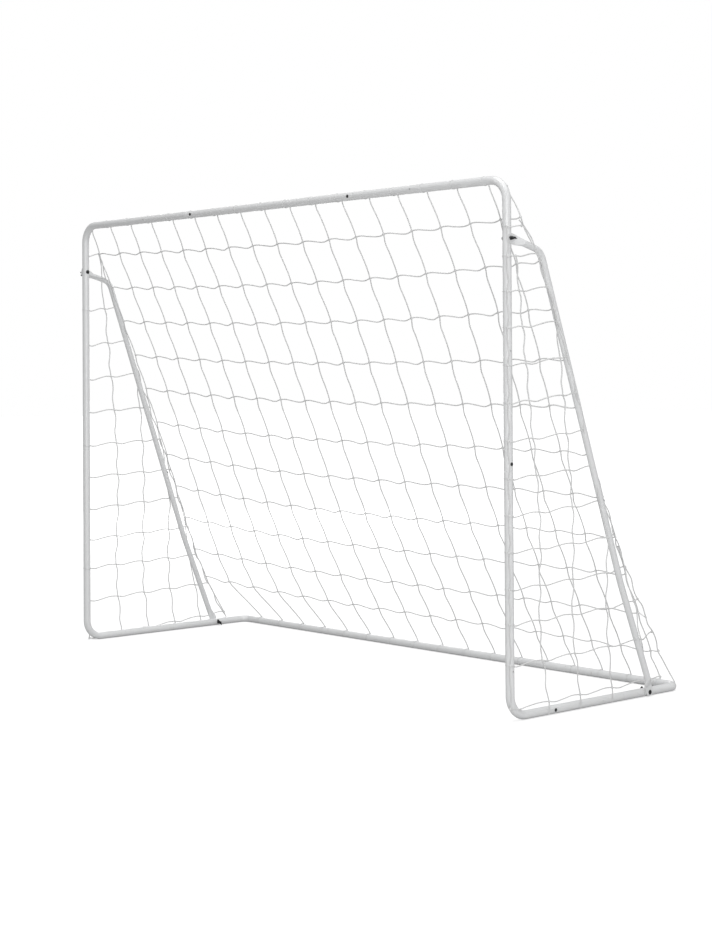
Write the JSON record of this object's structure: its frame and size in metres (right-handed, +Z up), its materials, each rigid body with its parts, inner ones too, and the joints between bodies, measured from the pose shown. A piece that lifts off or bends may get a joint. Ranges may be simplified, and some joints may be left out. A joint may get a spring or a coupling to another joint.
{
  "type": "soccer goal frame",
  "caption": "Free-standing soccer goal of screwed white steel tube, with wing-nut braces at each side and an open knotted net over the back and sides.",
  "frame": {"origin": "on the ground, midway between the posts, directly under the crossbar's centreline", "axes": "+X to the right looking into the goal, +Y back from the goal line, +Z up"},
  "size_m": [2.1698, 0.7664, 1.52],
  "materials": {
    "white_tube": "satin",
    "black_steel": "satin",
    "plated_steel": "satin",
    "net_twine": "matte"
  },
  "bodies": {
    "frame": {"crossbar_centre_tube": "white_tube", "rear_bar_centre_tube": "white_tube", "left_top_corner_tube": "white_tube", "left_bottom_corner_tube": "white_tube", "left_rear_corner_tube": "white_tube", "left_upper_brace_tube": "white_tube", "left_lower_brace_tube": "white_tube", "right_top_corner_tube": "white_tube", "right_bottom_corner_tube": "white_tube", "right_rear_corner_tube": "white_tube", "right_upper_brace_tube": "white_tube", "right_lower_brace_tube": "white_tube", "crossbar_joint_screws": "black_steel", "rear_bar_joint_screws": "black_steel", "post_joint_screws": "black_steel", "side_bar_joint_screws": "black_steel", "brace_joint_screws": "black_steel", "crossbar_joint_inserts": "plated_steel", "rear_bar_joint_inserts": "plated_steel", "post_joint_inserts": "plated_steel", "side_bar_joint_inserts": "plated_steel", "brace_joint_inserts": "plated_steel", "left_upper_bolt": "black_steel", "left_lower_bolt": "black_steel", "right_upper_bolt": "black_steel", "right_lower_bolt": "black_steel", "net_back": "net_twine", "left_net_side": "net_twine", "right_net_side": "net_twine"},
    "left_upper_washer": {"left_upper_washer": "black_steel"},
    "left_upper_wing_nut": {"left_upper_wing_nut": "black_steel"},
    "left_lower_washer": {"left_lower_washer": "black_steel"},
    "left_lower_wing_nut": {"left_lower_wing_nut": "black_steel"},
    "right_upper_washer": {"right_upper_washer": "black_steel"},
    "right_upper_wing_nut": {"right_upper_wing_nut": "black_steel"},
    "right_lower_washer": {"right_lower_washer": "black_steel"},
    "right_lower_wing_nut": {"right_lower_wing_nut": "black_steel"}
  },
  "joints": [
    {"name": "left_upper_nut_advance", "type": "slide", "parent": "frame", "child": "left_upper_washer", "axis": [-1, 0, 0], "range_m": [0, 0.0071]},
    {"name": "left_upper_nut_turn", "type": "hinge", "parent": "left_upper_washer", "child": "left_upper_wing_nut", "pos_m": [-1.0684, 0, 1.3415], "axis": [-1, 0, 0], "range_deg": [0, 2520]},
    {"name": "left_lower_nut_advance", "type": "slide", "parent": "frame", "child": "left_lower_washer", "axis": [1, 0, 0], "range_m": [0, 0.0071]},
    {"name": "left_lower_nut_turn", "type": "hinge", "parent": "left_lower_washer", "child": "left_lower_wing_nut", "pos_m": [-1.03875, 0.59, 0.0125], "axis": [1, 0, 0], "range_deg": [0, 2520]},
    {"name": "right_upper_nut_advance", "type": "slide", "parent": "frame", "child": "right_upper_washer", "axis": [1, 0, 0], "range_m": [0, 0.0071]},
    {"name": "right_upper_nut_turn", "type": "hinge", "parent": "right_upper_washer", "child": "right_upper_wing_nut", "pos_m": [1.0684, 0, 1.3415], "axis": [1, 0, 0], "range_deg": [0, 2520]},
    {"name": "right_lower_nut_advance", "type": "slide", "parent": "frame", "child": "right_lower_washer", "axis": [-1, 0, 0], "range_m": [0, 0.0071]},
    {"name": "right_lower_nut_turn", "type": "hinge", "parent": "right_lower_washer", "child": "right_lower_wing_nut", "pos_m": [1.03875, 0.59, 0.0125], "axis": [-1, 0, 0], "range_deg": [0, 2520]}
  ],
  "couplings": [
    {"joint": "left_upper_nut_advance", "follows": "left_upper_nut_turn", "m_per_rad": 0.00015915},
    {"joint": "left_lower_nut_advance", "follows": "left_lower_nut_turn", "m_per_rad": 0.00015915},
    {"joint": "right_upper_nut_advance", "follows": "right_upper_nut_turn", "m_per_rad": 0.00015915},
    {"joint": "right_lower_nut_advance", "follows": "right_lower_nut_turn", "m_per_rad": 0.00015915}
  ]
}
